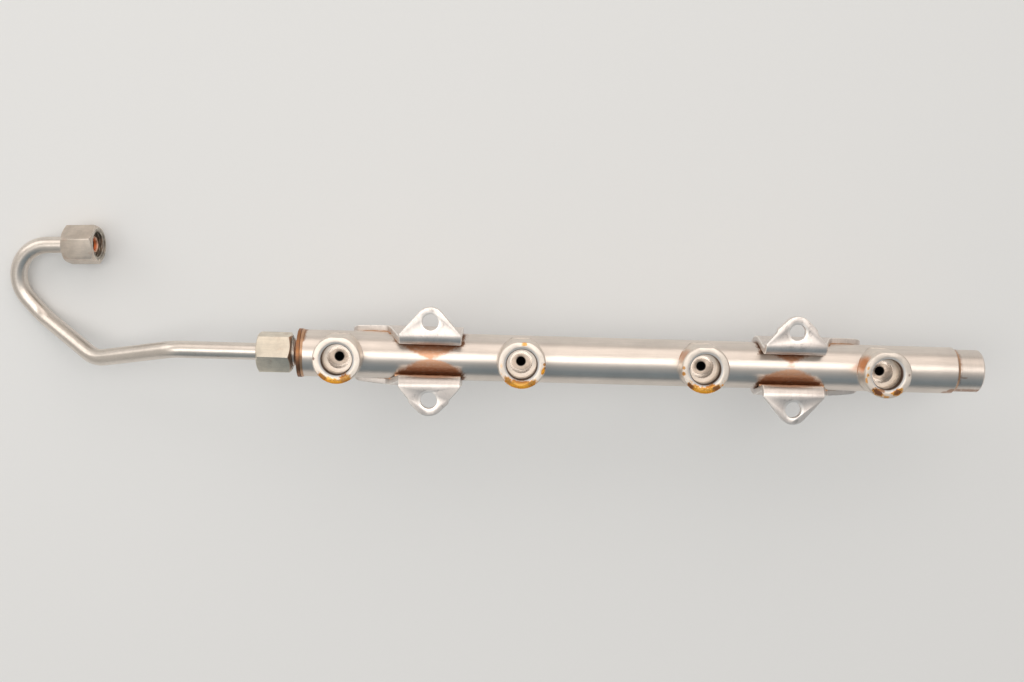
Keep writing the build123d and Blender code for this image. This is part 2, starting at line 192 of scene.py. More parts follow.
class FuelRailStage(bpy.types.PropertyGroup):
    """Camera and lamps."""

    lens: FloatProperty(
        name="Lens", description="Focal length on a 36 mm sensor", default=42.293,
        min=10, max=200, subtype="DISTANCE_CAMERA", unit="CAMERA",
    )
    camera_place: FloatVectorProperty(
        name="Camera place", description="Where the camera stands",
        default=(-62.0 * MM, 77.4 * MM, 543.05 * MM), size=3, subtype="TRANSLATION", unit="LENGTH",
    )
    camera_turn: FloatVectorProperty(
        name="Camera turn", description="Turn of the camera from looking straight down",
        default=(radians(-7.065), radians(-1.392), radians(1.779)), size=3, subtype="EULER",
        unit="ROTATION",
    )
    key_power: power_property("Key power", "Power of the large lamp behind the camera", 6.4)
    left_power: power_property("Left power", "Power of the lamp beyond the bent pipe", 2.4)
    side_power: power_property("Side power", "Power of the lamp on the far side", 2.6)


# --- materials ----------------------------------------------------------------
class Graph:
    """Shader nodes on one set of coordinates, wired by short calls."""

    def __init__(self, tree, coordinates):
        self.tree = tree
        self.place = self.node("ShaderNodeTexCoord").outputs[coordinates]

    def feed(self, socket, value):
        if isinstance(value, bpy.types.NodeSocket):
            self.tree.links.new(value, socket)
        elif hasattr(socket.default_value, "__len__") and len(value) < len(socket.default_value):
            socket.default_value = (*value, 1)
        else:
            socket.default_value = value

    def node(self, kind, values=(), **options):
        node = self.tree.nodes.new(kind)
        for option, value in options.items():
            setattr(node, option, value)
        for position, value in enumerate(values):
            self.feed(node.inputs[position], value)
        return node

    def math(self, operation, *values):
        return self.node("ShaderNodeMath", values, operation=operation).outputs[0]

    def times(self, first, *others):
        for other in others:
            first = self.math("MULTIPLY", first, other)
        return first

    def times_add(self, value, gain, offset):
        return self.math("MULTIPLY_ADD", value, gain, offset)

    def plus(self, first, second):
        return self.math("ADD", first, second)

    def minus(self, first, second):
        return self.math("SUBTRACT", first, second)

    def absolute(self, value):
        return self.math("ABSOLUTE", value)

    def vector(self, operation, *values, output="Value"):
        return self.node("ShaderNodeVectorMath", values, operation=operation).outputs[output]

    def length(self, *parts):
        """Length of the vector that has these three parts."""
        return self.vector("LENGTH", self.join(*parts))

    def split(self, vector):
        return self.node("ShaderNodeSeparateXYZ", [vector]).outputs

    def join(self, x, y, z):
        return self.node("ShaderNodeCombineXYZ", [x, y, z]).outputs[0]

    def rise(self, value, low, high, bottom=0.0, top=1.0):
        """Smooth step from bottom at low to top at high."""
        return self.node(
            "ShaderNodeMapRange", [value, low, high, bottom, top], interpolation_type="SMOOTHSTEP"
        ).outputs[0]

    def moved(self, shift=(0, 0, 0), scale=(1, 1, 1)):
        return self.node("ShaderNodeMapping", [self.place, shift, (0, 0, 0), scale]).outputs[0]

    def noise(self, scale, detail, roughness, place=None, distortion=0.0):
        node = self.node("ShaderNodeTexNoise")
        self.feed(node.inputs["Vector"], place or self.place)
        for name, value in (
            ("Scale", scale), ("Detail", detail), ("Roughness", roughness), ("Distortion", distortion)
        ):
            self.feed(node.inputs[name], value)
        return node.outputs["Fac"]

    def mix(self, amount, below, above):
        node = self.node("ShaderNodeMix", data_type="RGBA")
        self.feed(node.inputs["Factor"], amount)
        self.feed(node.inputs[6], below)
        self.feed(node.inputs[7], above)
        return node.outputs[2]

    def coat(self, below, above, mask, strength):
        """Lays one colour over another where the mask is, at a strength."""
        return self.mix(self.times(mask, strength), below, above)

    def either(self, first, *others):
        for other in others:
            first = self.math("MAXIMUM", first, other)
        return first

    def spot(self, centre, radius):
        """Ragged round patch about a place."""
        away = self.vector("DISTANCE", self.place, centre)
        edge = self.times_add(self.noise(600.0, 4, 0.65), 0.7 * radius, -0.35 * radius)
        return self.rise(self.plus(away, edge), radius * 1.1, radius * 0.7)


class Finish(Graph):
    """One procedural material, on Object coordinates."""

    def __init__(self, name):
        self.material = bpy.data.materials.new(name)
        self.material.use_nodes = True
        super().__init__(self.material.node_tree, "Object")
        self.shader = self.tree.nodes["Principled BSDF"]
        self.relief = None

    def bump(self, height, distance, strength):
        """Adds relief, in metres of height."""
        node = self.node("ShaderNodeBump")
        for name, value in (("Height", height), ("Distance", distance), ("Strength", strength)):
            self.feed(node.inputs[name], value)
        if self.relief is not None:
            self.feed(node.inputs["Normal"], self.relief)
        self.relief = node.outputs["Normal"]

    def done(self, colour, roughness, metallic=1.0):
        self.feed(self.shader.inputs["Base Color"], colour)
        self.feed(self.shader.inputs["Roughness"], roughness)
        self.feed(self.shader.inputs["Metallic"], metallic)
        if self.relief is not None:
            self.feed(self.shader.inputs["Normal"], self.relief)
        return self.material


def shade(colour, factor):
    return tuple(channel * factor for channel in colour)


def blend(first, second, share):
    """Colour with this share of the second in the first."""
    return tuple((1 - share) * a + share * b for a, b in zip(first, second))


def steel_ground(finish, colour, streaks, streak_scale, patch_scale=55.0, depth=0.10, relief=1.0):
    """Cloudy steel colour with streaks; returns colour and roughness."""
    cloud = finish.noise(patch_scale, 4, 0.6)
    grain = finish.noise(1.0, 3, 0.6, place=finish.moved(scale=shade(streaks, streak_scale)))
    tone = finish.mix(finish.rise(cloud, 0.35, 0.68), shade(colour, 1 - depth), colour)
    tone = finish.coat(tone, shade(colour, 0.72), finish.rise(grain, 0.35, 0.75), 0.30)
    finish.bump(grain, 0.000012 * relief, 0.8)
    finish.bump(finish.noise(2600, 2, 0.5), 0.000006 * relief, 0.6)
    return tone, finish.times_add(grain, 0.14, 0.26)


def mirrored_x(finish):
    """Distance along X outward from the nearest bracket, the same on both halves, and x, y, z."""
    x, y, z = finish.split(finish.place)
    return finish.minus(finish.absolute(x), BRACKET_X), x, y, z


def tube_finish(colours):
    """Drawn tube with copper run out of the brackets, painted shade towards the ears, and painted dark
    inside as shade.
    """
    finish = Finish("drawn_tube")
    tone, roughness = steel_ground(finish, colours.tube, (0.05, 1, 1), 1500.0)
    beside, x, y, z = mirrored_x(finish)
    torn = finish.noise(380, 6, 0.7)
    near = finish.plus(finish.absolute(beside), finish.times_add(torn, 9.0 * MM, -4.5 * MM))
    # On the far side the film is a wedge with its point towards the top of the tube.
    point = finish.rise(x, -MM, MM, -0.3 * MM, 2.6 * MM)
    wedge = finish.times(finish.minus(y, point), 2.3)
    # On the near side it is a dome, wider than the ear towards the middle of the rail.
    dome = finish.math("SQRT", finish.math("MAXIMUM", finish.times(y, -1 / (6.9 * MM)), 0.0))
    dome = finish.times(dome, finish.rise(beside, MM, -MM, 15 * MM, 17 * MM))
    film = finish.rise(finish.minus(finish.either(wedge, dome), near), -2.0 * MM, 2.6 * MM)
    flecks = finish.noise(1.0, 4, 0.7, place=finish.moved(scale=(500, 1400, 1400)))
    flecks = finish.rise(flecks, 0.25, 0.55, 0.72, 1.0)
    film = finish.times(film, finish.rise(near, 17.5 * MM, 14.5 * MM), flecks)
    # Painted shade: the copper film darkens from the top of the tube towards the walls, darkest where the
    # ears shade it.
    sideways = finish.absolute(y)
    copper = finish.mix(
        finish.rise(sideways, 0.5 * MM, 5.2 * MM), colours.copper, shade(colours.braze, 1.5)
    )
    copper = finish.mix(
        finish.rise(sideways, 4.6 * MM, 7.6 * MM), copper, shade(colours.braze, 0.75)
    )
    tone = finish.mix(film, tone, copper)
    # A dark band along the foot of each ear: painted shade under the ear, and the braze film there.
    under_ear = finish.rise(sideways, 5.6 * MM, 6.8 * MM)
    under_ear = finish.times(under_ear, finish.rise(near, 16 * MM, 14.8 * MM))
    tone = finish.coat(tone, shade(colours.braze, 0.6), under_ear, 0.75)
    # Heat and braze beside the inlet flange, strongest on the far side.
    reach = finish.rise(y, 4.5 * MM, 9.0 * MM, 0.5 * MM, 2.2 * MM)
    reach = finish.plus(reach, finish.times_add(torn, 3.0 * MM, -1.5 * MM))
    burnt_end = finish.minus(reach, finish.minus(x, TUBE_LOW.x))
    burnt_end = finish.rise(burnt_end, -0.7 * MM, 0.7 * MM)
    brown = finish.mix(finish.rise(y, -2 * MM, 7 * MM), shade(colours.braze, 0.8), (0.30, 0.12, 0.035))
    tone = finish.coat(tone, brown, burnt_end, 0.9)
    # Rust low at the end beside the sensor port.
    rust = finish.either(
        finish.spot((TUBE_HIGH.x - 1.5 * MM, -9.0 * MM, AXIS_Z + 6.0 * MM), 2.4 * MM),
        finish.spot((TUBE_HIGH.x - 4.0 * MM, -9.8 * MM, AXIS_Z + 4.5 * MM), 1.6 * MM),
    )
    tone = finish.coat(tone, shade(colours.braze, 1.3), rust, 0.8)
    # Bore and fuel holes, painted near black as painted shade.
    off_axis = finish.length(0.0, y, finish.minus(z, AXIS_Z))
    hollow = finish.rise(off_axis, TUBE_BORE_R + 0.6 * MM, TUBE_BORE_R + 0.3 * MM)
    from_cup = finish.absolute(finish.minus(finish.absolute(beside), CUP_PITCH / 2))
    off_hole = finish.length(from_cup, y, 0.0)
    off_hole = finish.rise(off_hole, FUEL_HOLE_R + 0.4 * MM, FUEL_HOLE_R + 0.2 * MM)
    hollow = finish.either(hollow, off_hole)
    tone = finish.mix(hollow, tone, colours.painted_inside_shade)
    roughness = finish.times_add(film, 0.14, roughness)
    roughness = finish.times_add(hollow, 0.4, roughness)
    return finish.done(tone, roughness, finish.minus(1.0, hollow))


def stain(finish, spoke, measure, torn, shape, edge=(1.2, 0.8)):
    """Ragged patch on a cup, fading between the two edge values.

    Its shape is heading and half spread in degrees, then middle and half width of the measure,
    a radius or a depth, in mm.
    """
    heading, spread, middle, half_width = shape
    toward = (cos(radians(heading)), sin(radians(heading)), 0)
    across = (-toward[1], toward[0], 0)
    turn = finish.math(
        "ARCTAN2", finish.vector("DOT_PRODUCT", spoke, across), finish.vector("DOT_PRODUCT", spoke, toward)
    )
    turn = finish.times(turn, 1 / radians(spread))
    out = finish.times_add(measure, 1 / (half_width * MM), -middle / half_width)
    return finish.rise(finish.plus(finish.length(turn, out, 0.0), torn), *edge)


def cup_finish(colours, number, patches, runs):
    """Turned cup with fuel varnish in its own places."""
    finish = Finish(f"cup_{number}")
    x, y, z = finish.split(finish.place)
    spoke = finish.join(finish.minus(x, CUP_X[number - 1]), y, 0.0)
    radius = finish.vector("LENGTH", spoke)
    depth = finish.minus(CUP_TOP, z)
    outside = finish.rise(radius, SOCKET_MOUTH_R, SOCKET_MOUTH_R + 0.4 * MM)
    rings = finish.noise(1.0, 2, 0.5, place=finish.join(finish.times(radius, 4200.0), 0.0, 0.0))
    rings = finish.times(rings, outside)
    cloud = finish.noise(260, 4, 0.6, place=finish.moved(shift=(0, 0.37 * number, 0)))
    flecks = finish.times(finish.noise(1100, 5, 0.72), outside)
    tone = finish.mix(finish.rise(cloud, 0.35, 0.7), shade(colours.cup, 0.88), colours.cup)
    tone = finish.coat(tone, shade(colours.cup, 0.6), finish.rise(rings, 0.35, 0.7), 0.12)
    tone = finish.coat(tone, shade(colours.cup, 0.5), finish.rise(flecks, 0.56, 0.7), 0.38)
    finish.bump(rings, 0.000004, 0.3)
    finish.bump(finish.times(finish.noise(1900, 3, 0.55), outside), 0.00001, 0.5)
    # Bore: painted shade between the lead-in and the floor, a pale lead-in and a painted dark line where the
    # lead-in ends.
    inside = finish.rise(radius, SOCKET_MOUTH_R - 0.4 * MM, SOCKET_MOUTH_R - 0.6 * MM)
    bore = finish.times(
        inside,
        finish.rise(depth, SOCKET_LEAD + 0.2 * MM, SOCKET_LEAD + 0.7 * MM),
        finish.rise(depth, SOCKET_BORE_FLOOR, SOCKET_BORE_FLOOR - 0.6 * MM),
    )
    tone = finish.coat(tone, shade(colours.cup, 0.62), bore, 0.55)
    # Painted light: the lead-in is painted pale and made less metallic so that it shows bright, standing in
    # for the light it reflects.
    lead = finish.times(
        finish.rise(radius, 8.3 * MM, 7.7 * MM),
        finish.rise(depth, SOCKET_LEAD + 0.1 * MM, SOCKET_LEAD - 0.2 * MM),
    )
    tone = finish.mix(lead, tone, (0.80, 0.80, 0.79))
    # Painted shade: a dark line on the steep end of the lead-in, standing in for its reflection of the dark
    # bore.
    line = finish.times(
        finish.rise(radius, SOCKET_BORE_R + 0.5 * MM, SOCKET_BORE_R + 0.3 * MM),
        finish.rise(radius, SOCKET_BORE_R - 0.5 * MM, SOCKET_BORE_R - 0.3 * MM),
        finish.rise(depth, SOCKET_LEAD + 1.2 * MM, SOCKET_LEAD + 0.8 * MM),
    )
    tone = finish.coat(tone, shade(colours.braze, 0.5), line, 0.88)
    lead = finish.times(lead, finish.minus(1.0, line))
    # Varnish on the face: golden where it is thin, and burnt where it is thick.
    torn = finish.times_add(finish.noise(800, 6, 0.75), 3.0, -1.5)
    fine = finish.times_add(finish.noise(1500, 5, 0.75), 3.0, -1.5)
    golden, burnt = [], []
    for *shape, gold, dark in patches:
        if gold:
            golden.append(finish.times(stain(finish, spoke, radius, torn, shape), gold))
        if dark:
            burnt.append(finish.times(stain(finish, spoke, radius, fine, shape), dark))
    top = finish.rise(depth, 3.2 * MM, 1.6 * MM)
    golden = finish.times(finish.either(*golden), top)
    burnt = finish.times(finish.either(*burnt), top)
    amber = blend(colours.varnish, (0.50, 0.19, 0.04), 0.75)
    straw = blend(colours.varnish, (1.0, 0.95, 0.40), 0.25)
    varnish = finish.mix(finish.rise(radius, 8.0 * MM, 9.0 * MM), amber, straw)
    varnish = finish.mix(finish.rise(radius, 9.2 * MM, 10.2 * MM), varnish, colours.varnish)
    varnish = finish.coat(varnish, amber, finish.rise(fine, -0.2, 0.4), 0.8)
    tone = finish.mix(golden, tone, varnish)
    tone = finish.mix(burnt, tone, colours.varnish_dark)
    # Copper run up the wall below the face.
    wall = finish.rise(radius, CUP_R - 0.9 * MM, CUP_R - 0.4 * MM)
    wall = finish.times(wall, finish.rise(depth, 1.0 * MM, 1.8 * MM))
    soft = finish.times(torn, 0.3)
    for heading, spread, strength in runs:
        run = stain(finish, spoke, depth, soft, (heading, spread, 5.0, 7.0), edge=(1.4, 0.4))
        tone = finish.coat(tone, (0.70, 0.30, 0.12), finish.times(run, wall), strength)
    # Fuel hole, painted near black as painted shade, and the polished cone about it.
    shaft = finish.rise(radius, FUEL_HOLE_R + 0.12 * MM, FUEL_HOLE_R + 0.04 * MM)
    tone = finish.mix(shaft, tone, colours.painted_inside_shade)
    polish = finish.times(
        inside,
        finish.rise(depth, SOCKET_BORE_FLOOR, SOCKET_BORE_FLOOR + 0.4 * MM),
        finish.minus(1.0, shaft),
    )
    tone = finish.mix(polish, tone, shade(colours.edge, 0.98))
    roughness = finish.times_add(cloud, 0.16, 0.34)
    for mask, change in ((polish, -0.16), (golden, -0.14), (lead, 0.12)):
        roughness = finish.times_add(mask, change, roughness)
    metallic = finish.times_add(golden, -0.3, 1.0)
    for mask, loss in ((burnt, -0.7), (lead, -0.65)):
        metallic = finish.times(metallic, finish.times_add(mask, loss, 1.0))
    return finish.done(tone, roughness, finish.times(metallic, finish.minus(1.0, shaft)))


def sheet_finish(colours):
    """Rolled sheet with a painted highlight ring and bruises about each bolt hole, and copper low down."""
    finish = Finish("rolled_sheet")
    tone, roughness = steel_ground(finish, colours.sheet, (1, 0.35, 1), 900.0, 140.0, 0.14)
    beside, x, y, z = mirrored_x(finish)
    scuffs = finish.noise(330, 5, 0.7, place=finish.moved(shift=(0.3, 0.1, 0)), distortion=0.4)
    from_hole = finish.length(beside, finish.minus(finish.absolute(y), BOLT_Y), 0.0)
    top = finish.rise(z, -2.0 * MM, -0.5 * MM)
    bruise = finish.times(
        finish.rise(scuffs, 0.52, 0.66), finish.rise(from_hole, 10.0 * MM, 6.0 * MM), top
    )
    tone = finish.coat(tone, shade(colours.sheet, 0.42), bruise, 0.55)
    # Painted highlight: a bright ring round each bolt hole, standing in for the light on its rolled edge.
    painted_hole_highlight = finish.plus(from_hole, finish.times_add(scuffs, 0.8 * MM, -0.4 * MM))
    painted_hole_highlight = finish.rise(painted_hole_highlight, BOLT_HOLE_R + 1.5 * MM, BOLT_HOLE_R + 0.7 * MM)
    tone = finish.coat(tone, colours.edge, finish.times(painted_hole_highlight, top), 0.8)
    run = finish.rise(z, AXIS_Z - 5 * MM, AXIS_Z - 9 * MM)
    run = finish.times(run, finish.rise(finish.noise(120, 4, 0.6), 0.42, 0.66))
    tone = finish.coat(tone, shade(colours.copper, 0.8), run, 0.45)
    return finish.done(tone, finish.plus(roughness, 0.06))


def edge_finish(colours):
    """Rounded edges of sheet and nuts, painted bright: partly wear, partly a painted highlight."""
    finish = Finish("worn_edge_and_highlight")
    nicks = finish.noise(900, 4, 0.7)
    tone = finish.mix(finish.rise(nicks, 0.45, 0.75), colours.edge, shade(colours.edge, 0.72))
    finish.bump(nicks, 0.00003, 0.6)
    return finish.done(tone, finish.times_add(nicks, 0.2, 0.28))


def nut_finish(colours, name, tint):
    """Drawn hexagon with a dull skin."""
    finish = Finish(name)
    skin = tuple(a * b for a, b in zip(colours.nut, tint))
    tone, roughness = steel_ground(finish, skin, (0.12, 1, 1), 1300.0, 190.0, 0.16)
    speckle = finish.rise(finish.noise(1300, 4, 0.7), 0.6, 0.8)
    tone = finish.coat(tone, shade(colours.nut, 0.35), speckle, 0.35)
    blot = finish.noise(170, 3, 0.6, place=finish.moved(shift=(0.7, 0.2, 0.4)))
    tone = finish.coat(tone, shade(colours.braze, 1.4), finish.rise(blot, 0.58, 0.75), 0.30)
    return finish.done(tone, finish.plus(roughness, 0.04))


def thread_finish(colours):
    """Thread inside the nuts and on the stud, darker than the nuts."""
    finish = Finish("dark_thread")
    cloud = finish.noise(420, 4, 0.6)
    tone = finish.mix(finish.rise(cloud, 0.35, 0.7), shade(colours.nut, 0.62), shade(colours.nut, 0.34))
    finish.bump(finish.noise(2200, 3, 0.5), 0.00001, 0.6)
    return finish.done(tone, finish.times_add(cloud, 0.15, 0.28))


def pipe_finish(colours):
    """Drawn pipe, faintly marked by the bending tool."""
    finish = Finish("drawn_pipe")
    tone, roughness = steel_ground(finish, colours.pipe, (0.5, 1, 1), 1100.0, 90.0, 0.08, relief=0.35)
    marks = finish.rise(finish.noise(260, 5, 0.7, distortion=0.3), 0.62, 0.76)
    tone = finish.coat(tone, shade(colours.braze, 1.5), marks, 0.45)
    return finish.done(tone, roughness)


def fitting_finish(colours):
    """Turned fitting: bright neck, flange covered in dulled braze."""
    finish = Finish("turned_fitting")
    tone, roughness = steel_ground(finish, colours.tube, (1, 0.1, 0.1), 1600.0)
    x, y, z = finish.split(finish.place)
    flange_face = TUBE_LOW.x - FLANGE
    cover = finish.rise(x, flange_face - 0.25 * MM, flange_face + 0.1 * MM)
    cloud = finish.noise(350, 4, 0.65)
    # Painted light: the flange braze is mixed lighter on the far side (+y), towards the lamps, and darker on
    # the near side.
    lit = finish.mix(finish.rise(cloud, 0.35, 0.65), (0.40, 0.18, 0.075), shade(colours.braze, 1.2))
    low = finish.mix(finish.rise(cloud, 0.3, 0.7), shade(colours.braze, 1.15), shade(colours.braze, 0.7))
    copper = finish.mix(finish.rise(y, -5 * MM, 3 * MM), low, lit)
    joint = finish.rise(x, TUBE_LOW.x - 0.55 * MM, TUBE_LOW.x - 0.15 * MM)
    copper = finish.coat(copper, shade(colours.braze, 0.35), joint, 0.85)
    tone = finish.mix(cover, tone, copper)
    return finish.done(tone, finish.times_add(cover, 0.12, roughness))


def port_finish(colours):
    """Turned sensor boss, rusty at its joint and along its lower edge."""
    finish = Finish("turned_port")
    tone, roughness = steel_ground(finish, shade(colours.tube, 0.98), (1, 0.08, 0.08), 1700.0)
    x, y, z = finish.split(finish.place)
    upper = finish.rise(z, AXIS_Z, AXIS_Z + MM)
    warm = finish.rise(x, TUBE_HIGH.x + 2.4 * MM, TUBE_HIGH.x + 0.6 * MM)
    warm = finish.times(warm, finish.rise(finish.noise(420, 4, 0.6), 0.35, 0.6))
    low_edge = finish.times(finish.rise(y, -7.3 * MM, -8.5 * MM), upper)
    low_edge = finish.times(low_edge, finish.rise(finish.noise(520, 5, 0.7), 0.36, 0.50))
    wavy = finish.plus(y, finish.times_add(finish.noise(500, 3, 0.6), 0.9 * MM, 1.6 * MM))
    dash = finish.rise(finish.absolute(wavy), 0.42 * MM, 0.18 * MM)
    dash = finish.times(dash, finish.rise(x, TUBE_HIGH.x + 5.0 * MM, TUBE_HIGH.x + 3.6 * MM), upper)
    rust = finish.either(warm, low_edge, finish.times(dash, 0.75))
    tone = finish.coat(tone, shade(colours.braze, 1.1), rust, 0.85)
    return finish.done(tone, roughness)


def braze_finish(colours):
    """Copper braze, brown where it has dulled."""
    finish = Finish("copper_braze")
    cloud = finish.noise(480, 5, 0.65)
    fine = finish.noise(1900, 3, 0.6)
    tone = finish.mix(finish.rise(cloud, 0.36, 0.66), colours.copper, colours.braze)
    finish.bump(cloud, 0.00006, 0.6)
    finish.bump(fine, 0.00002, 0.6)
    return finish.done(tone, finish.times_add(fine, 0.25, 0.30))


def foot_finish(colours):
    """Thin braze bead at a cup's foot: tinned grey, copper where it ran."""
    finish = Finish("cup_foot_braze")
    cloud = finish.noise(420, 4, 0.65)
    tone = finish.mix(finish.rise(cloud, 0.4, 0.7), shade(colours.tube, 0.92), shade(colours.tube, 0.7))
    ran = finish.either(
        finish.spot((CUP_X[3] - 10.8 * MM, 2.6 * MM, AXIS_Z + TUBE_R), 4.2 * MM),
        finish.spot((CUP_X[2] - 9.6 * MM, 5.2 * MM, AXIS_Z + TUBE_R), 3.0 * MM),
    )
    tone = finish.mix(ran, tone, shade(colours.copper, 0.7))
    finish.bump(finish.noise(1900, 3, 0.6), 0.00002, 0.5)
    return finish.done(tone, finish.times_add(cloud, 0.2, 0.28))


def head_finish(colours):
    """Sealing head with a copper blush, deeper in its bore."""
    finish = Finish("coppered_head")
    cloud = finish.noise(500, 4, 0.6)
    warm = blend(colours.tube, colours.copper, 0.6)
    tone = finish.mix(finish.rise(cloud, 0.3, 0.7), shade(colours.copper, 1.05), warm)
    from_seat = finish.vector("SUBTRACT", finish.place, tuple(PUMP_SEAT), output="Vector")
    off_axis = finish.vector("CROSS_PRODUCT", from_seat, tuple(PUMP_AXIS), output="Vector")
    off_axis = finish.vector("LENGTH", off_axis)
    tone = finish.mix(finish.rise(off_axis, 3.5 * MM, 2.6 * MM), tone, (0.62, 0.15, 0.05))
    finish.bump(finish.noise(2100, 3, 0.5), 0.00001, 0.5)
    return finish.done(tone, finish.times_add(cloud, 0.2, 0.22))


# --- modelling helpers --------------------------------------------------------
def deselect():
    if bpy.context.mode != "OBJECT":
        bpy.ops.object.mode_set(mode="OBJECT")
    bpy.ops.object.select_all(action="DESELECT")


def make_active(piece):
    deselect()
    piece.select_set(True)
    bpy.context.view_layer.objects.active = piece


def paint(piece, *materials):
    piece.data.materials.clear()
    for material in materials:
        piece.data.materials.append(material)


def copy_of(node):
    """A merged copy of a construction node, ready for edit mode."""
    source = frame["nodes"][node]
    piece = bpy.data.objects.new(f"{node}_finished", source.data.copy())
    bpy.context.scene.collection.objects.link(piece)
    make_active(piece)
    bpy.ops.object.mode_set(mode="EDIT")
    bpy.ops.mesh.select_all(action="SELECT")
    bpy.ops.mesh.customdata_custom_splitnormals_clear()
    bpy.ops.mesh.remove_doubles(threshold=0.002 * MM)
    bpy.ops.mesh.dissolve_limited(angle_limit=radians(0.2))
    bpy.ops.object.mode_set(mode="OBJECT")
    return piece


def select_edges(piece, accept):
    """Opens the piece in edit mode with only the edges that accept(edge) takes selected."""
    make_active(piece)
    bpy.ops.object.mode_set(mode="EDIT")
    bpy.ops.mesh.select_mode(type="EDGE")
    bpy.ops.mesh.select_all(action="DESELECT")
    mesh = bmesh.from_edit_mesh(piece.data)
    for edge in mesh.edges:
        if accept(edge):
            edge.select_set(True)
    mesh.select_flush_mode()
    bmesh.update_edit_mesh(piece.data)


def soften(piece, width, segments, keep, sharp=30, material=-1):
    """Bevels the edges sharper than an angle that keep(edge) accepts."""
    select_edges(
        piece,
        lambda edge: len(edge.link_faces) == 2 and edge.calc_face_angle(0) > radians(sharp) and keep(edge),
    )
    bpy.ops.mesh.bevel(
        offset=width, segments=segments, profile=0.5, affect="EDGES",
        clamp_overlap=True, material=material, loop_slide=True,
    )
    bpy.ops.object.mode_set(mode="OBJECT")


def smooth(piece, angle, crease=None):
    """Smooth shading, sharp above an angle and on the edges that crease(edge) accepts."""
    make_active(piece)
    if crease:
        select_edges(piece, crease)
        bpy.ops.mesh.mark_sharp()
        bpy.ops.object.mode_set(mode="OBJECT")
    bpy.ops.object.shade_smooth_by_angle(angle=radians(angle), keep_sharp_edges=True)


def finish_piece(piece, body, slot, *nodes):
    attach(piece, body)
    if nodes:
        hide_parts(*nodes)


def off_line(point, origin, axis):
    """Distance of a point from the line through the origin along the axis."""
    out = point - origin
    return (out - axis * out.dot(axis)).length


def along_axis(origin, axis):
    """Matrix that takes +Z to the axis and the origin to its place."""
    return Matrix.Translation(origin) @ axis.to_track_quat("Z", "Y").to_matrix().to_4x4()


def threaded_bar(name, core, crest, pitch, length, place, fade=0.0, rings=10):
    """A closed round bar with a helical ridge, its end at place, running along -Z of place.

    The ridge fades out over the last `fade` metres at the +Z end.
    """
    deselect()
    bpy.ops.mesh.primitive_cylinder_add(vertices=72, radius=core, depth=length, end_fill_type="NGON")
    bar = bpy.context.object
    bar.name = name
    select_edges(bar, lambda edge: abs(edge.verts[0].co.z - edge.verts[1].co.z) > length / 2)
    bpy.ops.mesh.subdivide(number_cuts=max(4, ceil(length / pitch * rings)))
    mesh = bmesh.from_edit_mesh(bar.data)
    for vertex in mesh.verts:
        turn = atan2(vertex.co.y, vertex.co.x) / (2 * pi)
        phase = (vertex.co.z / pitch - turn) % 1.0
        ridge = min(1.0, max(0.0, 1.25 - abs(phase - 0.5) * 3.2))
        if fade:
            ridge *= min(1.0, max(0.0, (length / 2 - vertex.co.z) / fade))
        radius = core + (crest - core) * ridge
        scale = radius / hypot(vertex.co.x, vertex.co.y)
        vertex.co.x *= scale
        vertex.co.y *= scale
    bmesh.update_edit_mesh(bar.data)
    bpy.ops.object.mode_set(mode="OBJECT")
    bar.matrix_world = place @ Matrix.Translation((0, 0, -length / 2))
    make_active(bar)
    bpy.ops.object.transform_apply(location=True, rotation=True, scale=True)
    return bar


def tap(piece, cutter):
    """Cuts the threaded bar out of the piece."""
    make_active(piece)
    cut = piece.modifiers.new("thread", "BOOLEAN")
    cut.operation = "DIFFERENCE"
    cut.solver = "EXACT"
    cut.object = cutter
    bpy.ops.object.modifier_apply(modifier=cut.name)
    bpy.data.objects.remove(cutter)


def bead(name, points, radius, material, closed=False, swell=0.25):
    """Braze bead of the rail along a line, thicker here and thinner there."""
    deselect()
    bpy.ops.curve.primitive_nurbs_path_add()
    path = bpy.context.object
    path.name = name
    path.data.splines.clear()
    line = path.data.splines.new("POLY")
    line.points.add(len(points) - 1)
    for step, (point, place) in enumerate(zip(line.points, points)):
        point.co = (*place, 1)
        wave = sin(step * 0.9) * sin(step * 0.37 + 1.3)
        point.radius = 1 + swell * wave
    line.use_cyclic_u = closed
    line.use_smooth = True
    path.data.dimensions = "3D"
    path.data.bevel_depth = radius
    path.data.bevel_resolution = 3
    path.data.use_fill_caps = not closed
    make_active(path)
    bpy.ops.object.convert(target="MESH")
    made = bpy.context.object
    smooth(made, 60)
    paint(made, material)
    finish_piece(made, "rail", "copper_braze")


# --- pieces -------------------------------------------------------------------
class FUELRAIL_OT_tube(bpy.types.Operator):
    """Finish the drawn rail tube"""

    bl_idname = "fuelrail.tube"
    bl_label = "Rail tube"

    def execute(self, context):
        paint(frame["nodes"]["rail_tube"], tube_finish(context.scene.fuel_rail_colours))
        return {"FINISHED"}


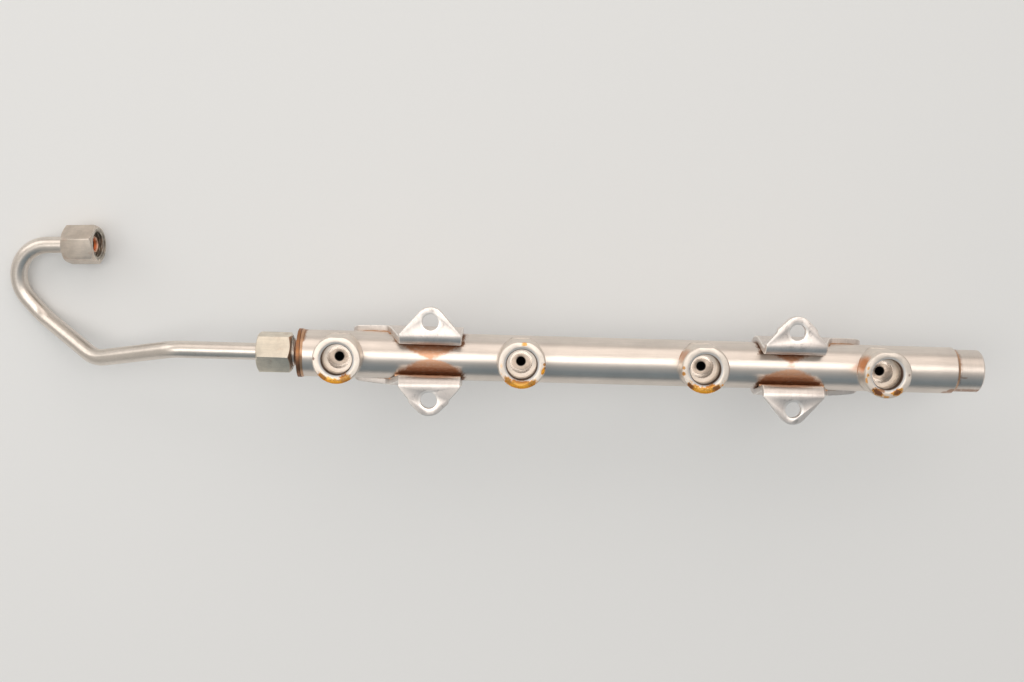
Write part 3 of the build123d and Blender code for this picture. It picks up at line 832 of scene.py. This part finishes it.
# Varnish on each cup's face: heading and half spread in degrees, middle radius and half
# width in mm, how golden, how burnt.
CUP_VARNISH = [
    [
        (-98, 42, 10.0, 1.5, 1.0, 0.0), (-63, 16, 9.2, 1.9, 1.0, 0.55), (-128, 13, 9.9, 1.1, 1.0, 0.7),
        (178, 3.5, 10.2, 0.6, 0.0, 0.8),
    ],
    [
        (-94, 45, 9.5, 2.1, 1.0, 0.0), (-130, 13, 9.4, 1.2, 1.0, 0.6), (-60, 12, 9.6, 1.4, 1.0, 0.5),
        (-94, 30, 8.2, 0.6, 0.9, 0.4), (85, 8, 9.6, 0.8, 0.9, 0.15), (-14, 9, 10.1, 0.9, 1.0, 0.0),
        (3, 4, 10.3, 0.6, 0.8, 0.6), (-7, 3, 10.7, 0.5, 0.0, 0.8), (184, 5, 9.3, 0.5, 0.4, 0.0),
    ],
    [
        (-90, 46, 9.7, 1.9, 1.0, 0.0), (-131, 11, 10.0, 0.9, 1.0, 0.95), (-57, 11, 9.7, 1.2, 1.0, 0.9),
        (-72, 17, 8.0, 0.7, 1.0, 0.1), (176, 4.5, 10.1, 0.6, 0.8, 0.4), (191, 5, 10.2, 0.7, 0.9, 0.5),
        (177, 5, 7.0, 0.6, 0.0, 0.9),
    ],
    [
        (-118, 19, 9.3, 1.4, 1.0, 0.0), (-119, 16, 9.2, 1.2, 0.0, 1.0), (-59, 16, 9.2, 1.4, 1.0, 0.0),
        (-59, 13, 9.2, 1.1, 0.0, 0.95), (-92, 7, 10.2, 0.6, 0.8, 0.2), (-108, 10, 7.8, 0.6, 0.7, 0.4),
        (163, 5, 9.9, 0.5, 0.7, 0.0), (182, 6, 9.5, 0.6, 0.8, 0.1), (197, 7, 10.3, 0.5, 0.8, 0.0),
        (2, 3.5, 9.6, 0.5, 0.0, 0.6),
    ],
]
# Copper run up each cup's wall: heading, half spread, strength.
CUP_RUNS = [[], [], [(148, 18, 0.6)], [(158, 22, 1.0)]]


def at_mouth(radii, depths):
    return max(depths) < 0.05 * MM and max(radii) < SOCKET_MOUTH_R + 0.05 * MM


def at_rim(radii, depths):
    return max(depths) < 0.8 * MM and min(radii) > CUP_FLAT - 0.8 * MM


def at_cone(radii, depths):
    off = [radius - SOCKET_CONE_R for radius in radii] + [depth - SOCKET_CONE for depth in depths]
    return max(abs(miss) for miss in off) < 0.08 * MM


def edge_of_cup(x, where):
    """Test for the edges of the cup at x that where(radii, depths) accepts for their two ends."""
    def accept(edge):
        ends = [vertex.co for vertex in edge.verts]
        return where([hypot(end.x - x, end.y) for end in ends], [CUP_TOP - end.z for end in ends])
    return accept


class FUELRAIL_OT_cups(bpy.types.Operator):
    """Round the mouths of the four injector cups and give each its own varnish"""

    bl_idname = "fuelrail.cups"
    bl_label = "Injector cups"

    def execute(self, context):
        sizes, colours = context.scene.fuel_rail_sizes, context.scene.fuel_rail_colours
        for number, (cup, x, patches, runs) in enumerate(zip(CUPS, CUP_X, CUP_VARNISH, CUP_RUNS), 1):
            piece = copy_of(cup)
            soften(piece, sizes.socket_round, 6, edge_of_cup(x, at_mouth))
            soften(piece, sizes.rim_edge, 3, edge_of_cup(x, at_rim))
            smooth(piece, 26, edge_of_cup(x, at_cone))
            paint(piece, cup_finish(colours, number, patches, runs))
            finish_piece(piece, "rail", "cup_steel", cup)
        return {"FINISHED"}


def cup_foot(x):
    """Line where a cup meets the tube."""
    foot_y = sqrt(TUBE_R**2 - CUP_SKIRT**2)
    points = []
    for step in range(96):
        turn = 2 * pi * step / 96
        y = max(-foot_y, min(CUP_FLAT, CUP_R * sin(turn)))
        points.append((x + CUP_R * cos(turn), y, AXIS_Z + sqrt(TUBE_R**2 - y * y)))
    return points


class FUELRAIL_OT_cup_braze(bpy.types.Operator):
    """Lay a braze bead round the foot of each cup"""

    bl_idname = "fuelrail.cup_braze"
    bl_label = "Cup braze"

    def execute(self, context):
        sizes, colours = context.scene.fuel_rail_sizes, context.scene.fuel_rail_colours
        finish = foot_finish(colours)
        for number, x in enumerate(CUP_X, start=1):
            bead(f"cup_braze_{number}", cup_foot(x), sizes.bead_radius, finish, closed=True)
        return {"FINISHED"}


def round_hole(edge):
    """Whether an edge of a bracket belongs to its bolt holes."""
    return all(
        hypot(abs(vertex.co.x) - BRACKET_X, abs(vertex.co.y) - BOLT_Y) < BOLT_HOLE_R + 0.4 * MM
        for vertex in edge.verts
    )


class FUELRAIL_OT_brackets(bpy.types.Operator):
    """Round the pressed edges of the brackets and paint them bright, as wear and as a painted highlight"""

    bl_idname = "fuelrail.brackets"
    bl_label = "Brackets"

    def execute(self, context):
        sizes, colours = context.scene.fuel_rail_sizes, context.scene.fuel_rail_colours
        sheet, edge = sheet_finish(colours), edge_finish(colours)
        for node in BRACKETS:
            piece = copy_of(node)
            paint(piece, sheet, edge)
            soften(piece, sizes.hole_edge, 2, round_hole, sharp=40, material=1)
            soften(piece, sizes.sheet_edge, 3, lambda edge: not round_hole(edge), sharp=40, material=1)
            smooth(piece, 35)
            finish_piece(piece, "rail", "sheet_steel", node)
        return {"FINISHED"}


def saddle_edge(side):
    """Edge of one side of a saddle on the tube, from the wall's foot to the middle of the back.

    Points are (distance along the rail from the bracket's centre, y, z above the tube axis).
    """
    lean_foot = TUBE_R * sin(WALL_LEAN)
    slope = (SADDLE_NECK - EAR_HALF_WIDTH) / FOLD_HEIGHT
    outline = [(-SADDLE_NECK + slope * lean_foot, lean_foot), (-SADDLE_NECK, 0.0)]
    # Straight lower edge of the tail, as far as its rounded corner.
    run = Vector((SADDLE_NECK - SADDLE_LONG, -SADDLE_TAIL_DROP))
    for step in range(1, 8):
        share = step / 7 * (1 - SADDLE_CORNER / run.length)
        outline.append((-SADDLE_NECK + run.x * share, run.y * share))
    last, corner = Vector(outline[-1]), Vector((-SADDLE_LONG, -SADDLE_TAIL_DROP))
    below = Vector((corner.x, corner.y - (TUBE_R - SADDLE_TAIL_DROP) * 0.9))
    for step in range(1, 6):
        t = step / 6
        outline.append(tuple((1 - t) ** 2 * last + 2 * t * (1 - t) * corner + t * t * below))
    points = [
        (along, side * sqrt(max(0.0, TUBE_R**2 - height**2)), height) for along, height in outline
    ]
    return points + [(-SADDLE_LONG, 0.0, -TUBE_R)]


def wall_wedge():
    """Middle of the wedge between a leaning wall and the tube: y, and height above the tube axis."""
    foot = Vector((cos(WALL_LEAN), sin(WALL_LEAN))) * TUBE_R
    wall = foot + Vector((-sin(WALL_LEAN), cos(WALL_LEAN))) * WEDGE_REACH
    return wall.normalized() * (TUBE_R + wall.length) / 2


class FUELRAIL_OT_bracket_braze(bpy.types.Operator):
    """Lay copper along the saddle edges and into the wedge under each wall"""

    bl_idname = "fuelrail.bracket_braze"
    bl_label = "Bracket braze"

    def execute(self, context):
        sizes, colours = context.scene.fuel_rail_sizes, context.scene.fuel_rail_colours
        braze = bpy.data.materials.get("copper_braze") or braze_finish(colours)
        for node, outward in BRACKETS.items():
            centre = outward * BRACKET_X
            loop = saddle_edge(1) + saddle_edge(-1)[-2::-1]
            line = [(centre - along * outward, y, AXIS_Z + height) for along, y, height in loop]
            bead(f"{node}_saddle_braze", fine_line(line, MM), sizes.saddle_bead, braze)
            for side, word in ((1, "far"), (-1, "near")):
                y, height = wall_wedge()
                line = [
                    (centre - outward * along * MM, side * y, AXIS_Z + height)
                    for along in (-16.4, -12, -8, -4, 0, 4, 8, 12, 14.2)
                ]
                bead(f"{node}_{word}_fill", fine_line(line, MM), sizes.wall_bead, braze, swell=0.12)
        return {"FINISHED"}


def fine_line(points, step):
    """The same broken line with points no further apart than step."""
    line = [Vector(points[0])]
    for start, end in zip(points, points[1:]):
        start, end = Vector(start), Vector(end)
        count = max(1, ceil((end - start).length / step))
        line += [start.lerp(end, index / count) for index in range(1, count + 1)]
    return [tuple(point) for point in line]


class FUELRAIL_OT_fitting(bpy.types.Operator):
    """Finish the inlet fitting, its visible thread and the braze rings at both ends"""

    bl_idname = "fuelrail.fitting"
    bl_label = "Inlet fitting"

    def execute(self, context):
        sizes, colours = context.scene.fuel_rail_sizes, context.scene.fuel_rail_colours
        paint(frame["nodes"]["inlet_fitting"], fitting_finish(colours))
        braze = bpy.data.materials.get("copper_braze") or braze_finish(colours)
        for ring in ("inlet_braze", "port_braze"):
            paint(frame["nodes"][ring], braze)
        thread = threaded_bar(
            "inlet_thread", STUD_CORE_R, sizes.union_thread / 2 - 0.1 * MM, sizes.thread_pitch, 1.9 * MM,
            along_axis(Vector((RAIL_NUT_MOUTH + 1.2 * MM, 0, AXIS_Z)), ALONG_RAIL),
            fade=0.5 * MM, rings=14,
        )
        smooth(thread, 50)
        paint(thread, thread_finish(colours))
        finish_piece(thread, "rail", "turned_steel")
        return {"FINISHED"}


class FUELRAIL_OT_port(bpy.types.Operator):
    """Cut the sensor thread in the port at the far end"""

    bl_idname = "fuelrail.port"
    bl_label = "Sensor port"

    def execute(self, context):
        sizes, colours = context.scene.fuel_rail_sizes, context.scene.fuel_rail_colours
        piece = copy_of("sensor_port")
        core = (sizes.sensor_thread - THREAD_DEPTH * sizes.thread_pitch) / 2
        place = along_axis(Vector((PORT_FACE + TAP_OVERRUN, 0, AXIS_Z)), ALONG_RAIL)
        cutter = threaded_bar(
            "sensor_tap", core - TAP_SLACK, sizes.sensor_thread / 2, sizes.thread_pitch, PORT_TAP, place
        )
        tap(piece, cutter)
        smooth(piece, 40)
        paint(piece, port_finish(colours))
        finish_piece(piece, "rail", "turned_steel", "sensor_port")
        return {"FINISHED"}


class FUELRAIL_OT_pipe(bpy.types.Operator):
    """Finish the bent supply pipe and its sealing heads"""

    bl_idname = "fuelrail.pipe"
    bl_label = "Supply pipe"

    def execute(self, context):
        colours = context.scene.fuel_rail_colours
        paint(frame["nodes"]["supply_pipe"], pipe_finish(colours))
        head = head_finish(colours)
        for node in ("sealing_head_rail", "sealing_head_pump"):
            paint(frame["nodes"][node], head)
        return {"FINISHED"}


class FUELRAIL_OT_nuts(bpy.types.Operator):
    """Tap the union nuts, round their edges and paint them bright, as wear and as a painted highlight"""

    bl_idname = "fuelrail.nuts"
    bl_label = "Union nuts"

    def execute(self, context):
        sizes, colours = context.scene.fuel_rail_sizes, context.scene.fuel_rail_colours
        core = (sizes.union_thread - THREAD_DEPTH * sizes.thread_pitch) / 2
        thread = thread_finish(colours)
        unions = (
            ("rail_nut", Vector((RAIL_NUT_MOUTH, 0, AXIS_Z)), ALONG_RAIL, "rail", (1.0, 1.0, 0.97)),
            ("pump_nut", PUMP_SEAT, PUMP_AXIS, "pump_nut", (0.83, 0.80, 0.80)),
        )
        for node, origin, axis, body, tint in unions:
            piece = copy_of(node)
            mouth = origin + axis * reach_along(node, origin, axis)

            def outer(edge, origin=origin, axis=axis):
                return all(off_line(vertex.co, origin, axis) > core * 1.25 for vertex in edge.verts)

            paint(piece, nut_finish(colours, f"{node}_skin", tint), thread, edge_finish(colours))
            soften(piece, sizes.nut_edge, 2, outer, sharp=20, material=2)
            place = along_axis(mouth + axis * TAP_OVERRUN, axis)
            cutter = threaded_bar(
                f"{node}_tap", core - TAP_SLACK, sizes.union_thread / 2, sizes.thread_pitch, NUT_TAP, place
            )
            paint(cutter, thread)
            tap(piece, cutter)
            for face in piece.data.polygons:
                if off_line(face.center, mouth, axis) < sizes.union_thread / 2 + 0.02 * MM:
                    face.material_index = 1
            smooth(piece, 35)
            finish_piece(piece, body, "nut_steel", node)
        return {"FINISHED"}


# --- stage --------------------------------------------------------------------
def floor_finish(colours):
    """Plain matt floor."""
    finish = Finish("studio_floor")
    tooth = finish.noise(900, 3, 0.5)
    tone = finish.mix(tooth, shade(colours.floor, 0.985), colours.floor)
    finish.bump(tooth, 0.00004, 0.2)
    return finish.done(tone, 0.85, 0.0)


# Dim on the near side of the rail and pale beyond it, so that round steel shows a dark band and a
# bright one. A thin pale band at the horizon ends the floor in a pale backdrop.
SKY_NEAR = (0.21, 0.27, 0.31)
SKY_FAR = (0.78, 0.71, 0.66)
SKY_LEFT = (0.62, 0.60, 0.57)
SKY_HORIZON = (1.6, 1.6, 1.58)


def softbox(name, place, target, width, depth, power, tint):
    lamp = bpy.data.lights.new(name, "AREA")
    lamp.shape = "RECTANGLE"
    lamp.size = width
    lamp.size_y = depth
    lamp.energy = power
    lamp.color = tint
    holder = bpy.data.objects.new(name, lamp)
    bpy.context.scene.collection.objects.link(holder)
    holder.location = place
    holder.rotation_euler = (Vector(target) - Vector(place)).to_track_quat("-Z", "Y").to_euler()


class FUELRAIL_OT_stage(bpy.types.Operator):
    """Set the pale floor, the soft light and the camera"""

    bl_idname = "fuelrail.stage"
    bl_label = "Stage"

    def execute(self, context):
        scene = context.scene
        colours, stage = scene.fuel_rail_colours, scene.fuel_rail_stage
        deselect()
        centre = (CAD_BOX[0] + CAD_BOX[1]) / 2
        level = CAD_BOX[0].z - 0.05 * MM
        bpy.ops.mesh.primitive_plane_add(size=60, location=(centre.x, centre.y, level))
        floor = context.object
        floor.name = "studio_floor"
        bpy.ops.object.transform_apply(location=True, rotation=True, scale=True)
        paint(floor, floor_finish(colours))

        world = bpy.data.worlds.new("studio")
        scene.world = world
        world.use_nodes = True
        sky = Graph(world.node_tree, "Generated")
        x, y, z = sky.split(sky.place)
        tone = sky.mix(sky.rise(y, -0.9, 0.6), SKY_NEAR, SKY_FAR)
        tone = sky.mix(sky.rise(x, -0.15, -0.65), tone, SKY_LEFT)
        height = sky.absolute(z)
        tone = sky.mix(sky.rise(height, 0.06, 0.03), tone, SKY_HORIZON)
        background = world.node_tree.nodes["Background"]
        sky.feed(background.inputs["Color"], tone)
        sky.feed(background.inputs["Strength"], sky.rise(height, 0.0, 0.45, 0.45, 0.95))

        softbox("key", (-0.17, 0.13, 1.25), (-0.12, 0, 0), 1.9, 0.6, stage.key_power, (1.0, 0.975, 0.94))
        softbox("far_side", (0.0, 1.15, 0.65), (0, 0, 0), 1.6, 0.9, stage.side_power, (1.0, 0.95, 0.90))
        softbox("far_left", (-1.15, 0.62, 0.50), (-0.2, 0, 0), 0.9, 0.7, stage.left_power, (1.0, 0.96, 0.92))

        camera = bpy.data.cameras.new("camera")
        camera.sensor_width = 36
        camera.lens = stage.lens
        camera.clip_start = 0.01
        holder = bpy.data.objects.new("camera", camera)
        scene.collection.objects.link(holder)
        holder.location = stage.camera_place
        holder.rotation_euler = stage.camera_turn
        scene.camera = holder
        scene.view_settings.view_transform = "Standard"
        return {"FINISHED"}


class FUELRAIL_PT_panel(bpy.types.Panel):
    """Buttons for each group of pieces"""

    bl_label = "Fuel Rail"
    bl_idname = "FUELRAIL_PT_panel"
    bl_space_type = "VIEW_3D"
    bl_region_type = "UI"
    bl_category = "Fuel Rail"

    def draw(self, context):
        for operator in OPERATORS:
            self.layout.operator(operator.bl_idname)
        for group in ("fuel_rail_sizes", "fuel_rail_colours", "fuel_rail_stage"):
            box = self.layout.box()
            values = getattr(context.scene, group)
            for name in values.__annotations__:
                box.prop(values, name)


OPERATORS = (
    FUELRAIL_OT_stage,
    FUELRAIL_OT_tube,
    FUELRAIL_OT_cups,
    FUELRAIL_OT_cup_braze,
    FUELRAIL_OT_brackets,
    FUELRAIL_OT_bracket_braze,
    FUELRAIL_OT_fitting,
    FUELRAIL_OT_port,
    FUELRAIL_OT_pipe,
    FUELRAIL_OT_nuts,
)
GROUPS = {
    "fuel_rail_sizes": FuelRailSizes,
    "fuel_rail_colours": FuelRailColours,
    "fuel_rail_stage": FuelRailStage,
}


def register():
    for group in GROUPS.values():
        bpy.utils.register_class(group)
    for operator in OPERATORS:
        bpy.utils.register_class(operator)
    bpy.utils.register_class(FUELRAIL_PT_panel)
    for name, group in GROUPS.items():
        setattr(bpy.types.Scene, name, PointerProperty(type=group))


def unregister():
    for name in GROUPS:
        delattr(bpy.types.Scene, name)
    bpy.utils.unregister_class(FUELRAIL_PT_panel)
    for operator in reversed(OPERATORS):
        bpy.utils.unregister_class(operator)
    for group in reversed(GROUPS.values()):
        bpy.utils.unregister_class(group)


def main():
    register()
    for operator in OPERATORS:
        group, name = operator.bl_idname.split(".")
        getattr(getattr(bpy.ops, group), name)()


if __name__ == "__main__":
    main()
